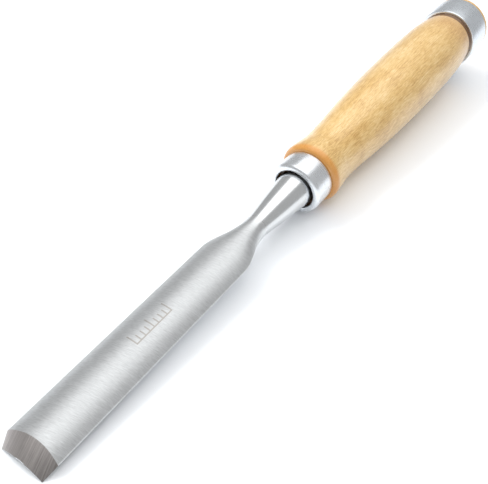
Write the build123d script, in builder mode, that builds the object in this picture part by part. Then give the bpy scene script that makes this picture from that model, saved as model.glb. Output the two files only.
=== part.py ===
from build123d import *
import math
import os

# An 18 mm out-cannel firmer gouge (a bench chisel with a curved blade): a one-piece forged
# blade and tang, a chromed front ferrule, a turned hardwood handle and a chromed striking hoop.
# Millimetres. The tool lies on the ground plane Z = 0, hollow side down, as it is put down on a
# bench: it rests on the two corners of its cutting edge and on the bead of the handle.
# +X runs from the cutting edge to the butt, +Y is to the left, +Z is up. The origin is on the
# ground, midway between the two corners of the cutting edge.
# Names that end in _x are distances from the cutting edge along the tool's own axis.
# Names that end in _z are heights above that axis.

# ---- Blade ----
blade_half_width = 9.0        # 18 mm across the upper arrises
arris_z = 0.60                # upper arris
crown_rise = 3.55             # top of the convex back above the arris
side_depth = 2.85             # height of the ground side face
side_inset = 1.40             # the side face leans in by this much at its foot
hollow_rise = 2.75            # how far the hollow side rises at the middle
bevel_length = 5.85           # cutting edge to the heel of the bevel, at the crown
bevel_at_arris = 4.40         # the same at the sides, where the blade is thinner
bevel_skew = 0.80             # the bevel is ground this much out of true, to the left
bevel_overrun = 1.25          # the grinding cone is carried past the heel, as a share
edge_land = 0.12              # thickness left at the cutting edge
channel_length = 86.0         # cutting edge to where the blade starts to narrow
hollow_stop = 30.0            # the hollow starts to run out this far before that
runout_radius = 60.0          # run-out of the hollow, in side view
runout_angle = 30.0           # degrees, past where it leaves the steel
shoulder_length = 17.5        # where the blade narrows to the neck
shoulder_steps = 7            # stations along the shoulder

# ---- Neck, bolster and tang ----
neck_radius = 4.25
neck_foot_share = 0.6         # the side faces end this far down the neck's round
flare_length = 10.5           # neck to where the flare is well under way
flare_rise = 1.15             # the radius gained there
bolster_length = 27.3         # neck to the bolster's flat end, against the handle's front face
bolster_radius = 7.25
cone_end_slope = 0.10
tang_length = 45.0
tang_root = 6.6               # square section at the bolster
tang_tip = 3.6                # square section at the end
tang_clearance = 0.05         # each side of the tang, in its hole
tang_end_clearance = 1.0      # the hole is this much deeper than the tang

# ---- Front ferrule ----
ferrule_overhang = 2.6        # its lip stands this far in front of the bolster's flat end
ferrule_length = 9.7
ferrule_radius = 10.30
ferrule_wall = 1.10
mouth_gap = 0.70              # between the bolster and the turned-in lip
lip_length = 1.30
lip_round = 1.70
ferrule_rear_round = 0.45

# ---- Handle ----
seat_clearance = 0.03         # radial, ferrule and hoop on their spigots
end_clearance = 0.05          # along the axis, ferrule and hoop against their shoulders
entry_chamfer = 0.40          # lead-in on the front spigot
bead_step = 1.70              # the bead stands proud of the ferrule by this much
bead_round = 2.30
bead_flat = 0.05              # the round stops this short of the bead's front face
waist_offset = 10.8           # crest of the bead to the waist
waist_radius = 11.00
grip_offset = 27.0            # waist to one place on the slope up to the swell
grip_radius = 12.75
swell_offset = 44.0           # and on to the swell
swell_radius = 14.10
rear_offset = 32.0            # swell to where the wood rounds over in front of the hoop
rear_taper_slope = 0.16       # how steeply the wood falls there
rear_step = 0.13              # the wood there is proud of the rear spigot by this much
rear_round = 4.5              # radius of that round
butt_dome = 2.6               # the domed butt stands this far out of the hoop
butt_round = 12.0             # radius of the dome, in side view
butt_flat_radius = 4.0        # flat in the middle of the dome

# ---- Striking hoop ----
hoop_gap = 3.20               # from where the wood rounds over to the hoop's front rim
hoop_length = 14.4
hoop_radius = 13.70
hoop_wall = 1.20
hoop_round = 0.50

# ---- Worked out ----
crown_z = arris_z + crown_rise
foot_z = arris_z - side_depth
foot_half_width = blade_half_width - side_inset
hollow_top_z = foot_z + hollow_rise
hollow_radius = (foot_half_width**2 + hollow_rise**2) / (2 * hollow_rise)
shoulder_x = channel_length
hollow_end_x = shoulder_x - hollow_stop
neck_x = shoulder_x + shoulder_length
cone_x = neck_x + flare_length
cone_radius = neck_radius + flare_rise
bolster_x = neck_x + bolster_length
ferrule_x = bolster_x - ferrule_overhang
ferrule_bore = ferrule_radius - ferrule_wall
mouth_radius = bolster_radius + mouth_gap
front_spigot_radius = ferrule_bore - seat_clearance
bead_offset = bead_round - bead_flat
bead_radius = ferrule_radius + bead_step
bead_front_x = ferrule_x + ferrule_length + end_clearance
bead_x = bead_front_x + bead_offset
waist_x = bead_x + waist_offset
grip_x = waist_x + grip_offset
swell_x = grip_x + swell_offset
rear_round_x = swell_x + rear_offset
hoop_x = rear_round_x + hoop_gap
bead_front_radius = bead_radius - bead_round + math.sqrt(bead_round**2 - bead_offset**2)
hoop_bore = hoop_radius - hoop_wall
rear_spigot_radius = hoop_bore - seat_clearance
rear_round_radius = rear_spigot_radius + rear_step
rear_shoulder_x = hoop_x - end_clearance
hoop_rear_x = hoop_x + hoop_length
butt_x = hoop_rear_x + butt_dome

# At rest the ground line passes through the foot of the cutting edge and touches the bead's round.
bead_centre_drop = bead_radius - bead_round + foot_z
bead_centre_distance = math.hypot(bead_x, bead_centre_drop)
rest_tilt = math.atan2(bead_centre_drop, bead_x) + math.asin(bead_round / bead_centre_distance)

along = Vector(math.cos(rest_tilt), 0, math.sin(rest_tilt))
upward = Vector(-math.sin(rest_tilt), 0, math.cos(rest_tilt))
tool = Plane(origin=upward * -foot_z, x_dir=along, z_dir=upward)
side = Plane(origin=tool.origin, x_dir=along, z_dir=tool.y_dir * -1)
tool_axis = Axis(tool.origin, along)


def station(x):
    """The plane across the tool at x. A sketch on it is drawn in left and up."""
    return Plane(origin=tool.from_local_coords((x, 0, 0)), x_dir=tool.y_dir, z_dir=along)


def plate_section(x, half, top, crown, foot_half, foot, under, bulge=0.0):
    """One section of the blade: convex back, two sides and the underside."""
    middle = ((half + foot_half) / 2 + bulge, (top + foot) / 2)
    with BuildSketch(station(x)) as section:
        with BuildLine():
            ThreePointArc((-half, top), (0, crown), (half, top))
            if bulge:
                ThreePointArc((half, top), middle, (foot_half, foot))
                ThreePointArc((-foot_half, foot), (-middle[0], middle[1]), (-half, top))
            else:
                Line((half, top), (foot_half, foot))
                Line((-foot_half, foot), (-half, top))
            if under == foot:
                Line((foot_half, foot), (-foot_half, foot))
            else:
                ThreePointArc((foot_half, foot), (0, under), (-foot_half, foot))
        make_face()
    return section.sketch


def blend(start, end, share):
    """Smooth step from start to end."""
    return start + (end - start) * share * share * (3 - 2 * share)


os.makedirs("parts", exist_ok=True)

# ---- Blade: channel, shoulder, neck, bolster and tang in one forging ----
neck_foot = -neck_radius * neck_foot_share
neck_foot_half = math.sqrt(neck_radius**2 - neck_foot**2)
neck_half = math.sqrt(neck_radius**2 - arris_z**2)
neck_side_half = math.sqrt(neck_radius**2 - ((arris_z + neck_foot) / 2) ** 2)
neck_bulge = neck_side_half - (neck_half + neck_foot_half) / 2

# The grinding cone, from the cutting edge to a little past the heel.
edge_top_z = hollow_top_z + edge_land
edge_circle_radius = hollow_radius + edge_land
arris_share = bevel_at_arris / bevel_length
arris_top_z = edge_top_z + (crown_z - edge_top_z) * arris_share
arris_drop = arris_top_z - arris_z
arris_circle_radius = (blade_half_width**2 + arris_drop**2) / (2 * arris_drop)
grind_growth = (arris_circle_radius - edge_circle_radius) / arris_share
grind_radius = edge_circle_radius + grind_growth * bevel_overrun
grind_top_z = edge_top_z + (crown_z - edge_top_z) * bevel_overrun

with BuildPart() as blade:
    # The bevel is ground on a cone: its circle at the cutting edge lies round the hollow's, and
    # by the heel it has risen to the crown and past both arrises.
    blank = plate_section(
        0, blade_half_width, arris_z, crown_z, foot_half_width, foot_z, foot_z
    )
    extrude(blank, amount=bevel_length * bevel_overrun)
    with BuildSketch(station(0)):
        with Locations((0, hollow_top_z - hollow_radius)):
            Circle(edge_circle_radius)
    with BuildSketch(station(bevel_length * bevel_overrun)):
        with Locations((bevel_skew * bevel_overrun, grind_top_z - grind_radius)):
            Circle(grind_radius)
    loft(ruled=True, mode=Mode.INTERSECT)
    # The straight part, solid underneath.
    straight = plate_section(
        bevel_length * bevel_overrun,
        blade_half_width, arris_z, crown_z, foot_half_width, foot_z, foot_z,
    )
    extrude(straight, amount=shoulder_x - bevel_length * bevel_overrun)
    # The shoulder narrows to the round neck in a smooth double curve.
    shares = [step / (shoulder_steps - 1) for step in range(shoulder_steps)]
    shoulder_sections = [
        plate_section(
            shoulder_x + (neck_x - shoulder_x) * share,
            blend(blade_half_width, neck_half, share),
            arris_z,
            blend(crown_z, neck_radius, share),
            blend(foot_half_width, neck_foot_half, share),
            blend(foot_z, neck_foot, share),
            blend(foot_z, -neck_radius, share),
            blend(0, neck_bulge, share),
        )
        for share in shares
    ]
    loft(shoulder_sections)
    # The hollow side, and its run-out before the shoulder.
    with BuildSketch(station(0)):
        with Locations((0, hollow_top_z - hollow_radius)):
            Circle(hollow_radius)
    extrude(amount=hollow_end_x, mode=Mode.SUBTRACT)
    with BuildSketch(station(hollow_end_x)):
        with Locations((0, hollow_top_z - hollow_radius)):
            Circle(hollow_radius)
    runout_pivot = tool.from_local_coords((hollow_end_x, 0, hollow_top_z - runout_radius))
    revolve(
        axis=Axis(runout_pivot, tool.y_dir), revolution_arc=runout_angle, mode=Mode.SUBTRACT
    )
    # The round neck and the conical bolster.
    with BuildSketch(side):
        with BuildLine():
            Line((neck_x, 0), (neck_x, neck_radius))
            Spline(
                (neck_x, neck_radius),
                (cone_x, cone_radius),
                (bolster_x, bolster_radius),
                tangents=((1, 0), (1, cone_end_slope)),
            )
            Line((bolster_x, bolster_radius), (bolster_x, 0))
            Line((bolster_x, 0), (neck_x, 0))
        make_face()
    revolve(axis=tool_axis)
    # The square tapered tang.
    with BuildSketch(station(bolster_x)):
        Rectangle(tang_root, tang_root)
    with BuildSketch(station(bolster_x + tang_length)):
        Rectangle(tang_tip, tang_tip)
    loft()
blade.part.label = "blade"
export_step(blade.part, "parts/blade.step")

# ---- Front ferrule: a short tube with a turned-in, rounded lip ----
with BuildPart() as front_ferrule:
    with BuildSketch(side):
        with BuildLine():
            Polyline(
                (ferrule_x, mouth_radius),
                (ferrule_x, ferrule_radius),
                (ferrule_x + ferrule_length, ferrule_radius),
                (ferrule_x + ferrule_length, ferrule_bore),
                (ferrule_x + lip_length, ferrule_bore),
                (ferrule_x + lip_length, mouth_radius),
                close=True,
            )
        make_face()
    revolve(axis=tool_axis)
    front_rims = front_ferrule.edges().filter_by(GeomType.CIRCLE).group_by(tool_axis)[0]
    fillet(front_rims.sort_by(SortBy.RADIUS)[-1], lip_round)
    front_rims = front_ferrule.edges().filter_by(GeomType.CIRCLE).group_by(tool_axis)[0]
    fillet(front_rims.sort_by(SortBy.RADIUS)[0], lip_length / 3)
    rear_rims = front_ferrule.edges().filter_by(GeomType.CIRCLE).group_by(tool_axis)[-1]
    fillet(rear_rims.sort_by(SortBy.RADIUS)[-1], ferrule_rear_round)
front_ferrule.part.label = "front_ferrule"
export_step(front_ferrule.part, "parts/front_ferrule.step")

# ---- Handle: turned between centres, bored for the tang ----
with BuildPart() as handle:
    with BuildSketch(side):
        with BuildLine():
            Polyline(
                (bolster_x, 0),
                (bolster_x, front_spigot_radius - entry_chamfer),
                (bolster_x + entry_chamfer, front_spigot_radius),
                (bead_front_x, front_spigot_radius),
                (bead_front_x, bead_front_radius),
            )
            RadiusArc((bead_front_x, bead_front_radius), (bead_x, bead_radius), bead_round)
            Spline((bead_x, bead_radius), (waist_x, waist_radius), tangents=((1, 0), (1, 0)))
            Spline(
                (waist_x, waist_radius),
                (grip_x, grip_radius),
                (swell_x, swell_radius),
                tangents=((1, 0), (1, 0)),
            )
            Spline(
                (swell_x, swell_radius),
                (rear_round_x, rear_round_radius),
                tangents=((1, 0), (1, -rear_taper_slope)),
            )
            RadiusArc(
                (rear_round_x, rear_round_radius),
                (rear_shoulder_x, rear_spigot_radius),
                rear_round,
            )
            Line((rear_shoulder_x, rear_spigot_radius), (hoop_rear_x, rear_spigot_radius))
            RadiusArc((hoop_rear_x, rear_spigot_radius), (butt_x, butt_flat_radius), butt_round)
            Line((butt_x, butt_flat_radius), (butt_x, 0))
            Line((butt_x, 0), (bolster_x, 0))
        make_face()
    revolve(axis=tool_axis)
    # The tang hole.
    with BuildSketch(station(bolster_x)):
        Rectangle(tang_root + 2 * tang_clearance, tang_root + 2 * tang_clearance)
    with BuildSketch(station(bolster_x + tang_length + tang_end_clearance)):
        Rectangle(tang_tip + 2 * tang_clearance, tang_tip + 2 * tang_clearance)
    loft(mode=Mode.SUBTRACT)
handle.part.label = "handle"
export_step(handle.part, "parts/handle.step")

# ---- Striking hoop: stops the butt from splitting under a mallet ----
with BuildPart() as striking_hoop:
    with BuildSketch(station(hoop_x)):
        Circle(hoop_radius)
        Circle(hoop_bore, mode=Mode.SUBTRACT)
    extrude(amount=hoop_length)
    rims = striking_hoop.edges().filter_by(GeomType.CIRCLE).sort_by(SortBy.RADIUS)
    fillet(rims[-2:], hoop_round)
striking_hoop.part.label = "striking_hoop"
export_step(striking_hoop.part, "parts/striking_hoop.step")
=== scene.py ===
# %% [markdown]
# # An out-cannel firmer gouge, lying on a bench
# This lesson dresses a finished CAD model of a carpenter's gouge: a steel blade with a curved
# section, a chromed ferrule, a turned hardwood handle and a chromed hoop at its far end. The CAD
# model gives the sizes and the place of every piece, so the new pieces are modelled in its frame.

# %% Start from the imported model
import math
import bmesh
import bpy
from mathutils import Matrix, Vector
from mathutils.geometry import interpolate_bezier


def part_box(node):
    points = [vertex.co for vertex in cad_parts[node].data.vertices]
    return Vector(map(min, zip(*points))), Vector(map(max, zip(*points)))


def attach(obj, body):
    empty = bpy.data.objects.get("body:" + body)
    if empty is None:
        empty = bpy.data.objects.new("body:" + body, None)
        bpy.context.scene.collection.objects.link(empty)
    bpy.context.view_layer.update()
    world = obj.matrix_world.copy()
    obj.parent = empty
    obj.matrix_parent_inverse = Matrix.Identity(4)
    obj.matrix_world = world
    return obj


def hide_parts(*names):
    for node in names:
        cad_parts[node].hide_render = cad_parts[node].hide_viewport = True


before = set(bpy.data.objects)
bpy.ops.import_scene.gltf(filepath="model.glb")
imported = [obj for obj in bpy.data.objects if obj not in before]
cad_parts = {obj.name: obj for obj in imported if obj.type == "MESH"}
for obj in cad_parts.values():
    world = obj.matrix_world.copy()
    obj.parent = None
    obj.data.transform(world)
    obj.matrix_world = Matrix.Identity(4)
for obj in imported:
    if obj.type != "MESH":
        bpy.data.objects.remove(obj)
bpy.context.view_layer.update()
for node_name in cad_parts:
    low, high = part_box(node_name)
    print(node_name, "from", [round(v, 4) for v in low], "to", [round(v, 4) for v in high])

# %% [markdown]
# ## The tool's own axis
# A gouge lies on a bench on the two corners of its cutting edge and on the bead of its handle, so
# its axis leans up a few degrees. Everything on it is turned or forged round that axis. One could
# model it leaning, but it is far easier to model it straight along X and to lean each finished
# mesh once, with one matrix.

# %% The leaning axis
mm = 0.001
foot_z = -2.25 * mm            # underside of the blade, below the axis
bead_x = 140.2 * mm            # crest of the handle's bead
bead_radius = 12.0 * mm
bead_round = 2.3 * mm
bead_drop = bead_radius - bead_round + foot_z
bead_distance = math.hypot(bead_x, bead_drop)
rest_tilt = math.atan2(bead_drop, bead_x) + math.asin(bead_round / bead_distance)
lean = Matrix.Rotation(-rest_tilt, 4, "Y")
tool_origin = lean @ Vector((0, 0, -foot_z))
tool = Matrix.Translation(tool_origin) @ lean
print("the axis leans by", round(math.degrees(rest_tilt), 3), "degrees")

# %% [markdown]
# ## Camera
# The tool is seen from beside its tip and from above, close enough for the blade to look much
# wider than the handle. A moderate lens at a short distance gives that. The camera is
# aimed at a point on the neck and then rolled a little about its own line of sight.

# %% Camera
camera_data = bpy.data.cameras.new("camera")
camera_data.sensor_width = 36.0
camera_data.lens = 50.53
camera_data.clip_start = 0.01
camera = bpy.data.objects.new("camera", camera_data)
bpy.context.scene.collection.objects.link(camera)
camera_place = Vector((-43.28, -89.31, 167.37)) * mm
camera_aim = Vector((93.55, -2.47, 12.0)) * mm
camera_roll = math.radians(4.91)
sight = camera_aim - camera_place
turn = sight.to_track_quat("-Z", "Y").to_matrix().to_4x4() @ Matrix.Rotation(camera_roll, 4, "Z")
camera.matrix_world = Matrix.Translation(camera_place) @ turn
bpy.context.scene.camera = camera
print("camera stands", round(sight.length, 3), "m from what it looks at")

# %% [markdown]
# ## Shader sums
# A material is a graph of nodes, and most of it is arithmetic on masks. Placing each Math node by
# hand hides the idea, so a small class wraps one socket and lets Python's own signs add the nodes.

# %% Sockets that can be added and multiplied
class Signal:
    """One output of a node in a finish's graph."""

    def __init__(self, finish, socket):
        self.finish = finish
        self.socket = socket

    def maths(self, operation, *values):
        return self.finish.node("ShaderNodeMath", {"operation": operation}, dict(enumerate(values)))

    def __add__(self, other):
        return self.maths("ADD", self, other)

    def __radd__(self, other):
        return self.maths("ADD", other, self)

    def __sub__(self, other):
        return self.maths("SUBTRACT", self, other)

    def __rsub__(self, other):
        return self.maths("SUBTRACT", other, self)

    def __mul__(self, other):
        return self.maths("MULTIPLY", self, other)

    def __rmul__(self, other):
        return self.maths("MULTIPLY", other, self)


class Finish:
    """A material whose graph is written as sums."""

    def __init__(self, name):
        self.material = bpy.data.materials.new(name)
        self.material.use_nodes = True
        self.tree = self.material.node_tree
        self.tree.nodes.clear()

    def node(self, kind, settings=None, values=None, output=0):
        """Adds a node: its settings first, then the values or links of its sockets."""
        made = self.tree.nodes.new(kind)
        for name, setting in (settings or {}).items():
            if name == "stops":
                while len(made.color_ramp.elements) < len(setting):
                    made.color_ramp.elements.new(1.0)
                for stop, (place, colour) in zip(made.color_ramp.elements, setting):
                    stop.position = place
                    stop.color = (*colour, 1.0)
            else:
                setattr(made, name, setting)
        for name, value in (values or {}).items():
            if isinstance(value, Signal):
                self.tree.links.new(value.socket, made.inputs[name])
            else:
                made.inputs[name].default_value = value
        return Signal(self, made.outputs[output]) if len(made.outputs) else None

    def tool_place(self):
        """Where a point is on the straight tool: along it, across it and up."""
        place = self.node("ShaderNodeTexCoord", output="Object")
        return self.node(
            "ShaderNodeMapping",
            {"vector_type": "TEXTURE"},
            {"Vector": place, "Location": tool_origin, "Rotation": (0, -rest_tilt, 0)},
        )

    def part_of(self, vector, letter):
        return self.node("ShaderNodeSeparateXYZ", values={"Vector": vector}, output=letter)

    def noise(self, vector, size, turn=(0, 0, 0), detail=3.0, roughness=0.55, shift=0.0):
        """Smooth noise from 0 to 1 whose blotches are size long, across and high."""
        stretched = self.node(
            "ShaderNodeMapping",
            {"vector_type": "TEXTURE"},
            {"Vector": vector, "Rotation": turn, "Scale": size, "Location": (shift, shift, 0)},
        )
        return self.node(
            "ShaderNodeTexNoise",
            values={"Vector": stretched, "Scale": 1.0, "Detail": detail, "Roughness": roughness},
        )

    def step(self, value, start, end, low=0.0, high=1.0):
        """Goes smoothly from low to high as value goes from start to end."""
        return self.node(
            "ShaderNodeMapRange",
            {"interpolation_type": "SMOOTHSTEP"},
            {0: value, 1: start, 2: end, 3: low, 4: high},
        )

    def blend(self, factor, first, second):
        """A mix of two colours."""
        return self.node(
            "ShaderNodeMix",
            {"data_type": "RGBA", "blend_type": "MIX"},
            {0: factor, 6: self.paint(first), 7: self.paint(second)},
            output=2,
        )

    def paint(self, colour):
        return colour if isinstance(colour, Signal) else (*colour, 1.0)

    def bump(self, height, depth):
        return self.node(
            "ShaderNodeBump", values={"Height": height, "Distance": depth, "Strength": 1.0}
        )

    def close(self, values):
        """The surface itself, wired to the output."""
        surface = self.node("ShaderNodeBsdfPrincipled", values=values)
        self.node("ShaderNodeOutputMaterial", values={"Surface": surface})
        return self.material


print("ready to write finishes")

# %% [markdown]
# ## Steel
# The blade is ground on a belt across its width, so its back shows fine, slightly slanting
# streaks, and it is polished from the neck on. A picture of brushed metal would need unwrapping.
# Noise squeezed along the tool and drawn out across it gives the same streaks on any shape, and
# the distance along the tool says where the polish starts. From the top of the sides down, the
# brushed steel is painted lighter, a painted highlight for the light that the eased arris catches,
# and the flank under it is painted darker, a painted shade.

# %% Brushed and polished steel
def blade_steel():
    finish = Finish("blade_steel")
    place = finish.tool_place()
    along = finish.part_of(place, "X")
    across = finish.part_of(place, "Y")
    side = across.maths("ABSOLUTE", across)
    height = finish.part_of(place, "Z")
    slant = (0, 0, math.radians(14))
    streaks = finish.noise(place, (0.34 * mm, 3.2 * mm, 3.2 * mm), slant, 5.0, 0.68)
    scratches = finish.noise(place, (0.16 * mm, 1.6 * mm, 1.6 * mm), slant, 2.0, shift=0.7)
    clouds = finish.noise(place, (9 * mm, 6 * mm, 6 * mm))
    polish = finish.step(along, 97 * mm, 108 * mm)
    brushed = 1.0 - polish
    tone = 0.655 + polish * 0.1 + (streaks - 0.5) * 0.3 * brushed
    tone = tone + (scratches - 0.5) * 0.3 * brushed + (clouds - 0.5) * 0.05
    # Painted highlight: the brushed steel is lighter from just above the arris downwards.
    rim = finish.step(height, 0.95 * mm, 0.72 * mm) * brushed
    # Painted shade: the flanks below the arris are painted darker.
    painted_flank_shade = finish.step(height, 0.5 * mm, 0.3 * mm) * finish.step(side, 7.4 * mm, 7.6 * mm)
    tone = tone + rim * 0.22 - painted_flank_shade * brushed * 0.5
    colour = finish.blend(tone, (0.0, 0.0, 0.0), (0.95, 0.97, 0.98))
    rough = 0.22 + brushed * 0.26 + (streaks - 0.5) * 0.2 * brushed + (clouds - 0.5) * 0.05
    relief = finish.bump((streaks * 0.7 + scratches * 0.3) * brushed, 0.02 * mm)
    return finish.close({
        "Base Color": colour,
        "Metallic": 1.0,
        "Roughness": rough,
        "Normal": relief,
    })


steel = blade_steel()
print("made", steel.name)

# %% [markdown]
# The bevel is ground on a coarser wheel, with the tool held square to it, so its marks run along
# the tool and the metal looks darker and a little warm. Only its faces get this second material,
# which keeps the border at the heel of the bevel crisp.

# %% Ground bevel
def bevel_steel():
    finish = Finish("bevel_steel")
    place = finish.tool_place()
    across = finish.part_of(place, "Y")
    lean_in = (0, 0, math.radians(8))
    marks = finish.noise(place, (12 * mm, 0.36 * mm, 12 * mm), lean_in, 5.0, 0.7)
    scores = finish.noise(place, (20 * mm, 0.2 * mm, 20 * mm), lean_in, 2.0, shift=0.4)
    burn = finish.noise(place, (4 * mm, 5 * mm, 5 * mm))
    # Painted light: the bevel is painted lighter towards the far side, where the light comes from,
    # and darker towards the near side.
    tone = 0.4 + finish.step(across, -8 * mm, 6 * mm, -0.06, 0.08)
    tone = tone + (marks - 0.5) * 0.5 + (scores - 0.5) * 0.3 + (burn - 0.5) * 0.12
    colour = finish.blend(tone, (0.02, 0.015, 0.01), (1.0, 0.94, 0.92))
    rough = 0.4 + (marks - 0.5) * 0.25
    return finish.close({
        "Base Color": colour,
        "Metallic": 1.0,
        "Roughness": rough,
        "Normal": finish.bump(marks, 0.03 * mm),
    })


ground = bevel_steel()
print("made", ground.name)

# %% [markdown]
# ## Chrome
# Plated parts are nearly mirrors. A perfect one looks false, so fine polishing rings run round the
# axis and a thin film of handling marks changes the gloss a little.

# %% Chrome
def chrome(name, tint):
    finish = Finish(name)
    place = finish.tool_place()
    rings = finish.noise(place, (0.25 * mm, 14 * mm, 14 * mm), detail=2.0)
    marks = finish.noise(place, (3 * mm, 3 * mm, 3 * mm), detail=5.0)
    tone = 0.87 + (marks - 0.5) * 0.1 + (rings - 0.5) * 0.06
    colour = finish.blend(tone, (0.0, 0.0, 0.0), tint)
    rough = 0.23 + marks * 0.1 + (rings - 0.5) * 0.08
    return finish.close({
        "Base Color": colour,
        "Metallic": 1.0,
        "Roughness": rough,
        "Normal": finish.bump(rings, 0.004 * mm),
    })


ferrule_plate = chrome("ferrule_chrome", (0.94, 0.97, 1.0))
hoop_plate = chrome("hoop_chrome", (0.9, 0.95, 1.0))
print("made", ferrule_plate.name, "and", hoop_plate.name)

# %% [markdown]
# ## Lacquered hardwood
# The handle is a pale, close-grained wood. Its growth rings are wide, soft bands along the tool
# and its pores are short dark flecks. The front of the bead is painted a deeper orange: partly the
# darker end grain where the lathe has cut across the grain and the lacquer soaks in, partly painted
# shade where it faces the ferrule. The wood also turns darker and browner from the swell back to
# the butt, where the lathe has cut across the grain. The groove in front of the hoop is painted
# dark brown and the wood seen through the ferrule's mouth nearly black, both painted shade. A clear
# coat over a rougher base gives the lacquer its soft shine.

# %% Wood
def handle_wood():
    finish = Finish("handle_wood")
    place = finish.tool_place()
    along = finish.part_of(place, "X")
    rings = finish.noise(place, (48 * mm, 5 * mm, 7 * mm), detail=3.0, roughness=0.6)
    fibres = finish.noise(place, (5 * mm, 0.36 * mm, 0.36 * mm), detail=4.0, roughness=0.72)
    flecks = finish.noise(place, (1.9 * mm, 0.34 * mm, 0.34 * mm), detail=1.0, shift=3.1)
    figure = finish.noise(place, (11 * mm, 7 * mm, 7 * mm), detail=3.0)
    tone = 0.42 + (rings - 0.5) * 0.5 + (fibres - 0.5) * 1.3 + (figure - 0.5) * 0.5
    wood = finish.node(
        "ShaderNodeValToRGB",
        {"stops": [
            (0.14, (0.44, 0.24, 0.06)),
            (0.42, (0.66, 0.43, 0.155)),
            (0.7, (0.78, 0.58, 0.3)),
        ]},
        {0: tone},
    )
    pores = finish.step(flecks, 0.6, 0.7) * 0.4
    wood = finish.blend(pores, wood, (0.44, 0.2, 0.05))
    # End grain and painted shade: the bead's front face is darker orange, partly its end grain,
    # partly painted shade where it faces the ferrule.
    bead_front_grain_and_shade = finish.step(along, 141.4 * mm, 139.4 * mm)
    # Painted shade: the wood inside the ferrule, seen through its mouth, is painted nearly black.
    painted_mouth_shade = finish.step(along, 137.7 * mm, 137.0 * mm)
    rear_end = finish.step(along, 236 * mm, 254 * mm)
    # Painted shade: the groove in front of the hoop is painted dark brown.
    painted_groove_shade = finish.step(along, 254.9 * mm, 255.7 * mm) * finish.step(along, 262 * mm, 260 * mm)
    wood = finish.blend(bead_front_grain_and_shade * (0.35 + figure * 0.8), wood, (0.58, 0.22, 0.018))
    wood = finish.blend(rear_end * 0.35, wood, (0.55, 0.29, 0.11))
    wood = finish.blend(painted_groove_shade * 0.92, wood, (0.1, 0.04, 0.012))
    wood = finish.blend(painted_mouth_shade * 0.9, wood, (0.05, 0.02, 0.008))
    rough = 0.42 + (fibres - 0.5) * 0.2
    relief = finish.bump(fibres * 0.5 + rings * 0.5, 0.03 * mm)
    return finish.close({
        "Base Color": wood,
        "Roughness": rough,
        "Normal": relief,
        "Coat Weight": 0.8,
        "Coat Roughness": 0.2,
    })


wood = handle_wood()
print("made", wood.name)

# %% [markdown]
# ## Putting a finished shape in place
# Each shape is modelled straight along X. When it is done its mesh is leaned with the tool, its
# faces are smoothed except across real edges, and it takes the place of its CAD node.

# %% Place a piece
weld_gap = 0.0005 * mm         # points closer than this are one point


def put_in_place(name, shape, node, finishes, edge_angle=28):
    bmesh.ops.remove_doubles(shape, verts=shape.verts, dist=weld_gap)
    bmesh.ops.recalc_face_normals(shape, faces=shape.faces)
    shape.transform(tool)
    for face in shape.faces:
        face.smooth = True
    mesh = bpy.data.meshes.new(name)
    shape.to_mesh(mesh)
    shape.free()
    mesh.set_sharp_from_angle(angle=math.radians(edge_angle))
    for material in finishes:
        mesh.materials.append(material)
    piece = bpy.data.objects.new(name, mesh)
    bpy.context.scene.collection.objects.link(piece)
    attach(piece, "root")
    if node:
        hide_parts(node)
    print(name, "has", len(mesh.polygons), "faces")
    return piece


# %% [markdown]
# ## Turned pieces
# The ferrule, the handle and the hoop are all made on a lathe or a press, so each is one profile
# spun round the axis. A profile is a row of points of distance along and radius. Curved stretches
# are Bezier curves, and a corner is rounded by the same curve between two points on its sides.

# %% Profiles and the lathe
full_turn = 2 * math.pi
lathe_steps = 144
round_share = 0.5523           # handle length that makes a quarter round


def point(x, radius):
    return Vector((x, 0, radius)) * mm


def curve(start, start_slope, end, end_slope, steps):
    """A smooth stretch that leaves start and reaches end at the given slopes."""
    reach = (end - start).length / 3
    first = start + Vector((1, 0, start_slope)).normalized() * reach
    second = end - Vector((1, 0, end_slope)).normalized() * reach
    return list(interpolate_bezier(start, first, second, end, steps))


def pulled(start, leave, end, arrive, steps):
    """A stretch whose handles stand off its ends by leave and arrive, along and outwards."""
    first = start + Vector((leave[0], 0, leave[1])) * mm
    second = end + Vector((arrive[0], 0, arrive[1])) * mm
    return list(interpolate_bezier(start, first, second, end, steps))


def rounded(before, corner, after, radius, steps=7):
    """The corner of a profile, rounded."""
    start = corner + (before - corner).normalized() * radius
    end = corner + (after - corner).normalized() * radius
    first = start + (corner - start) * round_share
    second = end + (corner - end) * round_share
    return list(interpolate_bezier(start, first, second, end, steps))


def turned(profile, closed):
    """Spins a profile round the axis."""
    shape = bmesh.new()
    wire = [shape.verts.new(place) for place in profile]
    links = [shape.edges.new(pair) for pair in zip(wire, wire[1:])]
    if closed:
        links.append(shape.edges.new((wire[-1], wire[0])))
    bmesh.ops.spin(
        shape, geom=wire + links, cent=(0, 0, 0), axis=(1, 0, 0), angle=full_turn,
        steps=lathe_steps, use_merge=True,
    )
    return shape


print("lathe ready, with", lathe_steps, "steps a turn")

# %% [markdown]
# ### Front ferrule
# A short tube whose front end is turned in, which leaves a smooth rolled lip and a dark gap round
# the bolster. The profile is a closed loop, so the spin gives a tube with a real wall.

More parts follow.
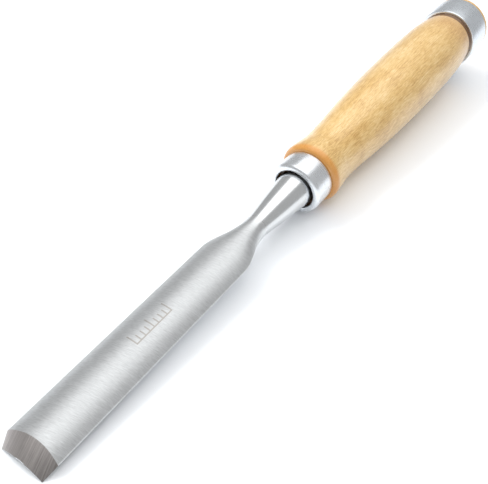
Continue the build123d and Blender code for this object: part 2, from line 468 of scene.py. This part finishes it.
# %% Ferrule
ferrule_x = 128.2
ferrule_end = 137.9
ferrule_radius = 10.3
ferrule_bore = 9.2
mouth_radius = 7.95
lip_length = 1.3
mouth_round = 0.43 * mm
lip_round = 1.7 * mm           # the rolled lip
rear_round_over = 0.45 * mm
ferrule_profile = [
    *rounded(point(ferrule_x + lip_length, mouth_radius), point(ferrule_x, mouth_radius),
             point(ferrule_x, ferrule_radius), mouth_round),
    *rounded(point(ferrule_x, mouth_radius), point(ferrule_x, ferrule_radius),
             point(ferrule_end, ferrule_radius), lip_round, 14),
    *rounded(point(ferrule_x, ferrule_radius), point(ferrule_end, ferrule_radius),
             point(ferrule_end, ferrule_bore), rear_round_over),
    point(ferrule_end, ferrule_bore),
    point(ferrule_x + lip_length, ferrule_bore),
    point(ferrule_x + lip_length, mouth_radius),
]
put_in_place(
    "ferrule_tube", turned(ferrule_profile, True), "front_ferrule",
    [ferrule_plate], 40,
)

# %% [markdown]
# ### Handle
# One profile again: a spigot inside the ferrule, a bead, a waist, a long swell for the palm, a
# rounded shoulder, a spigot inside the hoop and a low domed butt. The profile stays open at the
# front, where a square hole takes the tang.

# %% Handle
bolster_x = 130.8
front_spigot = 9.17
bead_front_x = 137.95
bead_front = 10.177             # where the bead's round front starts
waist = point(151.0, 11.0)
grip = point(178.0, 12.75)
grip_slope = 0.062
swell = point(222.0, 14.08)
rear_round = point(254.0, 12.6)
rear_slope = -0.16
rear_spigot = 12.47
rear_shoulder_x = 257.15
hoop_end = 271.6
butt_x = 274.2
butt_flat = 4.0
crest = point(bead_x / mm, bead_radius / mm)
bead_foot = point(bead_front_x, bead_front)
shoulder_foot = point(rear_shoulder_x, rear_spigot)
dome_foot = point(hoop_end, rear_spigot)
dome_rim = point(272.7, 13.55)  # the hammered butt swells a little over the hoop
dome_top = point(butt_x, butt_flat)
groove = point(256.0, 11.9)     # the wood dips before it goes into the hoop
hole_rim = 5.6                 # the turned face reaches in to here, and the tang hole takes over
spigot_chamfer = 0.4
handle_profile = [
    point(bolster_x, hole_rim),
    point(bolster_x, front_spigot - spigot_chamfer),
    point(bolster_x + spigot_chamfer, front_spigot),
    point(bead_front_x, front_spigot),
    *pulled(bead_foot, (0.1, 1.05), crest, (-1.2, 0), 12),
    *curve(crest, 0, waist, 0, 24)[1:],
    *curve(waist, 0, grip, grip_slope, 20)[1:],
    *curve(grip, grip_slope, swell, 0, 28)[1:],
    *curve(swell, 0, rear_round, rear_slope, 24)[1:],
    *pulled(rear_round, (1.3, -0.2), groove, (-0.4, 0.5), 10)[1:],
    shoulder_foot,
    dome_foot,
    *pulled(dome_foot, (0.1, 1.2), dome_rim, (-0.5, 0), 7)[1:],
    *pulled(dome_rim, (0.9, -0.1), dome_top, (-0.3, 3.6), 14)[1:],
    point(butt_x, 0),
]
handle_shape = turned(handle_profile, False)
print("handle profile has", len(handle_profile), "points")

# %% [markdown]
# The tang hole is a square loop bridged to the round rim that the profile left open, drawn back
# into the wood, narrowed as the tang narrows, and closed at its end.

# %% Tang hole
tang_root, tang_tip, tang_length = 6.6, 3.6, 45.0
hole_play = 0.1                # the hole is this much wider than the tang
hole_depth = 46.0


def square_loop(shape, x, side):
    """A square loop of edges round the axis."""
    ring = bmesh.ops.create_circle(
        shape, cap_ends=False, segments=4, radius=side * mm / math.sqrt(2),
        matrix=Matrix.Translation((x * mm, 0, 0)) @ Matrix.Rotation(math.pi / 2, 4, "Y")
        @ Matrix.Rotation(math.pi / 4, 4, "Z"),
    )
    return list({edge for vert in ring["verts"] for edge in vert.link_edges})


def square_pin(shape, rim, x, side, length, end_side):
    """Carries a rim of edges on into a square, tapered pin or hole."""
    root = square_loop(shape, x, side)
    tip = square_loop(shape, x + length, end_side)
    bmesh.ops.bridge_loops(shape, edges=rim + root)
    bmesh.ops.bridge_loops(shape, edges=root + tip)
    bmesh.ops.contextual_create(shape, geom=tip)


bmesh.ops.remove_doubles(handle_shape, verts=handle_shape.verts, dist=weld_gap)
open_rim = [edge for edge in handle_shape.edges if edge.is_boundary]
square_pin(
    handle_shape, open_rim, bolster_x, tang_root + hole_play, hole_depth, tang_tip + hole_play
)
put_in_place("turned_handle", handle_shape, "handle", [wood], 35)

# %% [markdown]
# ### Striking hoop
# A plain ring that stands a little proud of the wood, with its outer rims eased.

# %% Hoop
hoop_x = 257.2
hoop_radius = 13.67
hoop_bore = 12.5
hoop_round = 0.5 * mm
hoop_profile = [
    point(hoop_x, hoop_bore),
    *rounded(point(hoop_x, hoop_bore), point(hoop_x, hoop_radius),
             point(hoop_end, hoop_radius), hoop_round),
    *rounded(point(hoop_x, hoop_radius), point(hoop_end, hoop_radius),
             point(hoop_end, hoop_bore), hoop_round),
    point(hoop_end, hoop_bore),
]
put_in_place(
    "end_hoop", turned(hoop_profile, True), "striking_hoop", [hoop_plate], 40
)

# %% [markdown]
# ## The blade
# A forging like this has one long skin: an arched back, two leaning sides and a hollow underside
# that turn, through the shoulder, into a round neck and a cone. Boxes and booleans would leave
# seams in it. Instead, loops of the same number of points are set along the tool and bridged one
# to the next. The arcs of a loop are made by spinning one point.

# %% Loops of the blade
back_steps = 48
side_steps = 3
under_steps = 48
half_width = 9.0
arris_z = 0.6
crown_z = 4.15
foot_half = 7.6
foot = foot_z / mm
hollow_top = 0.5
neck_radius = 4.25
neck_foot = -0.6 * neck_radius


def arc_between(shape, start, peak, end, steps):
    """Spins start round to end, over or under a peak in the middle, and gives the points."""
    rise = peak - start[1]
    if abs(rise) < 1e-6:
        ahead = Vector((0, end[0] - start[0], end[1] - start[1])) * mm
        first = shape.verts.new(Vector((0, start[0], start[1])) * mm)
        bmesh.ops.spin(shape, geom=[first], dvec=ahead / steps, axis=(1, 0, 0), steps=steps)
    else:
        centre_z = (peak**2 - start[1] ** 2 - start[0] ** 2) / (2 * rise)
        reach = math.atan2(abs(start[0]), abs(start[1] - centre_z))
        if (start[1] - centre_z) * rise < 0:
            reach = math.pi - reach
        turn_sign = 1 if (end[0] - start[0]) * rise < 0 else -1
        first = shape.verts.new(Vector((0, start[0], start[1])) * mm)
        bmesh.ops.spin(
            shape, geom=[first], cent=(0, 0, centre_z * mm), axis=(1, 0, 0),
            angle=turn_sign * 2 * reach, steps=steps,
        )
    shape.verts.ensure_lookup_table()
    places = [vert.co.copy() for vert in shape.verts[-steps - 1:]]
    shape.clear()
    return places


def section(half, top, crown, foot_y, foot_level, under):
    """One loop of the blade: back, right side, underside, left side."""
    shape = bmesh.new()
    back = arc_between(shape, (-half, top), crown, (half, top), back_steps)
    below = arc_between(shape, (foot_y, foot_level), under, (-foot_y, foot_level), under_steps)
    shape.free()
    right = [back[-1].lerp(below[0], step / side_steps) for step in range(1, side_steps)]
    left = [below[-1].lerp(back[0], step / side_steps) for step in range(1, side_steps)]
    return back + right + below + left


blade_section = section(half_width, arris_z, crown_z, foot_half, foot, hollow_top)
print("a loop of the blade has", len(blade_section), "points")

# %% [markdown]
# The bevel is ground on a cone, so it runs out at a curved heel, longest at the crown. For each
# point of the back, a short search finds where the cone reaches it.

# %% The grinding cone of the bevel
edge_land = 0.12
bevel_length = 5.85            # at the crown of the back
bevel_at_arris = 4.4           # shorter at the sides, where the steel is thinner
bevel_skew = 0.8               # ground a little out of true
hollow_radius = (foot_half**2 + (hollow_top - foot) ** 2) / (2 * (hollow_top - foot))
edge_top = hollow_top + edge_land
edge_radius = hollow_radius + edge_land
arris_share = bevel_at_arris / bevel_length
arris_drop = edge_top + (crown_z - edge_top) * arris_share - arris_z
arris_radius = (half_width**2 + arris_drop**2) / (2 * arris_drop)
cone_growth = (arris_radius - edge_radius) / arris_share


def heel_x(place):
    """How far from the cutting edge the grinding cone comes out through a point of the back."""
    near, far = 0.0, 1.2
    for _ in range(24):
        share = (near + far) / 2
        radius = edge_radius + cone_growth * share
        centre = Vector((
            0, bevel_skew * share, edge_top + (crown_z - edge_top) * share - radius
        )) * mm
        if (place - centre).length > radius * mm:
            near = share
        else:
            far = share
    return near * bevel_length


print("bevel:", round(heel_x(Vector((0, 0, crown_z)) * mm), 2), "mm at the crown")

# %% [markdown]
# The neck's loop lies on a circle. Its points are pushed out to the radius, so that the flat
# sides of the blade fade into the round. Halfway loops are plain blends of the two.

# %% Stations along the blade
hollow_end = 56.0
runout_radius = 60.0
shoulder_x = 86.0
neck_x = 103.5
shoulder_loops = 22
neck_half = math.sqrt(neck_radius**2 - arris_z**2)
neck_foot_half = math.sqrt(neck_radius**2 - neck_foot**2)
neck_section = section(
    neck_half, arris_z, neck_radius, neck_foot_half, neck_foot, -neck_radius
)
neck_section = [place.normalized() * neck_radius * mm for place in neck_section]
edge_section = section(
    foot_half + (half_width - foot_half) * edge_land / (arris_z - foot), foot + edge_land,
    edge_top, foot_half, foot, hollow_top,
)
solid_section = section(half_width, arris_z, crown_z, foot_half, foot, foot)


def moved(places, x):
    """A loop set at x, or with each point at its own x."""
    along = x if isinstance(x, list) else [x] * len(places)
    return [place + Vector((far * mm, 0, 0)) for place, far in zip(places, along)]


heel = [heel_x(place) for place in blade_section[:back_steps + 1]]
right_heel, left_heel = heel[-1], heel[0]
heel_x_list = heel + [right_heel] * (side_steps - 1)
for number in range(under_steps + 1):
    heel_x_list.append(right_heel + (left_heel - right_heel) * number / under_steps)
heel_x_list += [left_heel] * (side_steps - 1)
loops = [moved(edge_section, 0.0), moved(blade_section, heel_x_list)]
for x in (8.0, 16.0, 26.0, 36.0, 46.0, hollow_end):
    loops.append(moved(blade_section, x))
runout_loops = 26
for number in range(1, runout_loops):
    x = hollow_end + (shoulder_x - hollow_end) * number / runout_loops
    drop = runout_radius - math.sqrt(runout_radius**2 - (x - hollow_end) ** 2)
    lowered = [place.copy() for place in blade_section]
    for place in lowered[back_steps + side_steps + 1:-side_steps]:
        place.z = max(foot * mm, place.z - drop * mm)
    loops.append(moved(lowered, x))
for number in range(shoulder_loops + 1):
    share = number / shoulder_loops
    ease = share * share * (3 - 2 * share)
    between = [a.lerp(b, ease) for a, b in zip(solid_section, neck_section)]
    loops.append(moved(between, shoulder_x + (neck_x - shoulder_x) * share))
bolster_middle = point(114.0, 5.4)
bolster_slope = 0.135
bolster_end = point(bolster_x, 7.25)
cone = curve(point(neck_x, neck_radius), 0, bolster_middle, bolster_slope, 12)
cone += curve(bolster_middle, bolster_slope, bolster_end, 0.1, 14)[1:]
for place in cone[1:]:
    scale = place.z / (neck_radius * mm)
    loops.append(moved([spot * scale for spot in neck_section], place.x / mm))
print("the blade has", len(loops), "loops")

# %% Bridge the loops
blade = bmesh.new()
rings = []
for places in loops:
    verts = [blade.verts.new(place) for place in places]
    rings.append([blade.edges.new((a, b)) for a, b in zip(verts, verts[1:] + verts[:1])])
for behind, ahead in zip(rings, rings[1:]):
    bmesh.ops.bridge_loops(blade, edges=behind + ahead)
edge_back = rings[0][:back_steps]
edge_under = rings[0][back_steps + side_steps:back_steps + side_steps + under_steps]
bmesh.ops.bridge_loops(blade, edges=edge_back + edge_under)
side_slits = [edge for edge in blade.edges if edge.is_boundary]
bmesh.ops.holes_fill(blade, edges=side_slits, sides=side_steps + 2)
square_pin(blade, rings[-1], bolster_x, tang_root, tang_length, tang_tip)
open_edges = [edge for edge in blade.edges if not edge.is_manifold]
print("blade skin:", len(blade.faces), "faces,", len(open_edges), "open edges")

# %% [markdown]
# Real arrises catch a thin line of light, because they are never quite sharp. The four long edges
# are eased by about a quarter of a millimetre and the heel of the bevel by a tenth. The faces in
# front of the heel get the ground finish.

# %% Ease the arrises
blade.normal_update()
arris_ease = 0.28 * mm
heel_ease = 0.1 * mm
bevel_facing = 0.3             # a face of the bevel looks at least this much forward and up
arris_start = 3.0 * mm         # the arrises stay sharp in front of this
arris_end = (shoulder_x + 12.5) * mm
arris_angle = math.radians(20)
for face in blade.faces:
    middle = face.calc_center_median()
    facing = face.normal.x < -bevel_facing and face.normal.z > bevel_facing
    face.material_index = 1 if facing and middle.x < bevel_length * mm else 0
long_edges = []
for edge in blade.edges:
    a, b = (vert.co for vert in edge.verts)
    lengthwise = abs(a.x - b.x) > 0.1 * mm and min(a.x, b.x) > arris_start
    if lengthwise and max(a.x, b.x) < arris_end and edge.is_manifold:
        if edge.calc_face_angle(0.0) > arris_angle:
            long_edges.append(edge)
heel_edges = []
for edge in blade.edges:
    finishes = sorted(face.material_index for face in edge.link_faces)
    if finishes == [0, 1] and min(vert.co.z for vert in edge.verts) > (arris_z - 0.1) * mm:
        heel_edges.append(edge)
print(len(long_edges), "arris edges")
bmesh.ops.bevel(
    blade, geom=long_edges, offset=arris_ease, offset_type="OFFSET", segments=2, profile=0.5,
    affect="EDGES", clamp_overlap=True, material=-1,
)
heel_edges = [edge for edge in heel_edges if edge.is_valid]
bmesh.ops.bevel(
    blade, geom=heel_edges, offset=heel_ease, offset_type="OFFSET", segments=1, profile=0.5,
    affect="EDGES", clamp_overlap=True, material=0,
)
put_in_place("gouge_blade", blade, "blade", [steel, ground], 24)

# %% [markdown]
# ## The etched size mark
# Tools of this kind carry a size mark etched on the back. This one is only a picture of a short
# rule in its place. Each stroke is a thin strip, and the strips are laid on the arch of the back,
# a hair above it.

# %% Size mark
mark_width = 0.42
mark_lift = 0.012
back_radius = (half_width**2 + (crown_z - arris_z) ** 2) / (2 * (crown_z - arris_z))
rule_x, rule_y, rule_length = 42.8, -2.1, 15.6
rule_ticks = 9
long_tick, short_tick = 3.9, 2.2
mark = bmesh.new()


def stroke(x, y, length, width):
    """A flat strip with its corner at x and y, cut up finely enough to follow the back."""
    made = bmesh.ops.create_grid(mark, x_segments=2, y_segments=14, size=0.5)
    bmesh.ops.scale(mark, vec=(length, width, 1), verts=made["verts"])
    bmesh.ops.translate(mark, vec=(x + length / 2, y + width / 2, 0), verts=made["verts"])


stroke(rule_x, rule_y, rule_length, mark_width)
for tick in range(rule_ticks):
    tick_x = rule_x + (rule_length - mark_width) * tick / (rule_ticks - 1)
    tick_length = long_tick if tick % 4 == 0 else short_tick
    stroke(tick_x, rule_y + mark_width, mark_width, tick_length)
for vert in mark.verts:
    drop = back_radius - math.sqrt(back_radius**2 - vert.co.y**2)
    vert.co = Vector((vert.co.x, vert.co.y, crown_z + mark_lift - drop)) * mm
print("the mark has", len(mark.faces), "faces")


# %% [markdown]
# Etching eats the steel to a dull, slightly brown grey that is no darker than the shade of a
# pencil line.

# %% Etched steel
def etched_steel():
    finish = Finish("etched_steel")
    place = finish.tool_place()
    bite = finish.noise(place, (0.3 * mm, 0.3 * mm, 0.3 * mm), detail=4.0)
    tone = 0.45 + (bite - 0.5) * 0.2
    return finish.close({
        "Base Color": finish.blend(tone, (0.02, 0.015, 0.01), (1.0, 0.95, 0.9)),
        "Metallic": 1.0,
        "Roughness": 0.5 + (bite - 0.5) * 0.2,
        "Normal": finish.bump(bite, 0.01 * mm),
    })


put_in_place("size_mark", mark, None, [etched_steel()])

# %% [markdown]
# ## Floor and light
# The floor is plain and pale. A broad soft light overhead gives the wide, gentle highlights of a
# product table. A second light from the far side and a third in front only brighten what they
# reach: they are kept out of reflections, because the metal would show them as hard patches.

# %% Floor
floor_finish = Finish("pale_floor")
floor_place = floor_finish.node("ShaderNodeTexCoord", output="Object")
floor_grain = floor_finish.noise(floor_place, (0.4, 0.4, 0.4), detail=2.0)
floor_tone = floor_finish.blend(floor_grain * 0.3, (0.9, 0.92, 0.945), (0.87, 0.89, 0.915))
pale = floor_finish.close({"Base Color": floor_tone, "Roughness": 0.7})
floor_shape = bmesh.new()
bmesh.ops.create_grid(floor_shape, x_segments=1, y_segments=1, size=1.6)
floor_mesh = bpy.data.meshes.new("floor")
floor_shape.to_mesh(floor_mesh)
floor_shape.free()
floor_mesh.materials.append(pale)
floor = bpy.data.objects.new("floor", floor_mesh)
bpy.context.scene.collection.objects.link(floor)

# %% Light
def soft_light(name, place, aim, width, depth, power, in_reflections=True):
    lamp = bpy.data.lights.new(name, "AREA")
    lamp.shape = "RECTANGLE"
    lamp.size = width
    lamp.size_y = depth
    lamp.energy = power
    holder = bpy.data.objects.new(name, lamp)
    aim_line = Vector(aim) - Vector(place)
    turn = aim_line.to_track_quat("-Z", "Y").to_matrix().to_4x4()
    holder.matrix_world = Matrix.Translation(Vector(place)) @ turn
    holder.visible_glossy = in_reflections
    bpy.context.scene.collection.objects.link(holder)


soft_light("overhead", (0.25, 0.1, 0.8), (0.25, 0.1, 0.0), 1.5, 0.9, 4.9)
soft_light("far_side", (0.0, 0.5, 0.6), (0.12, 0.0, 0.0), 0.4, 0.3, 3.4, False)
soft_light("front_fill", (0.2, -0.45, 0.8), (0.14, 0.0, 0.0), 0.8, 0.8, 2.0, False)
world = bpy.data.worlds.new("studio")
bpy.context.scene.world = world
world.use_nodes = True
sky = world.node_tree.nodes["Background"]
sky.inputs["Color"].default_value = (1.0, 1.0, 1.0, 1.0)
sky.inputs["Strength"].default_value = 0.5
bpy.context.scene.view_settings.view_transform = "Standard"
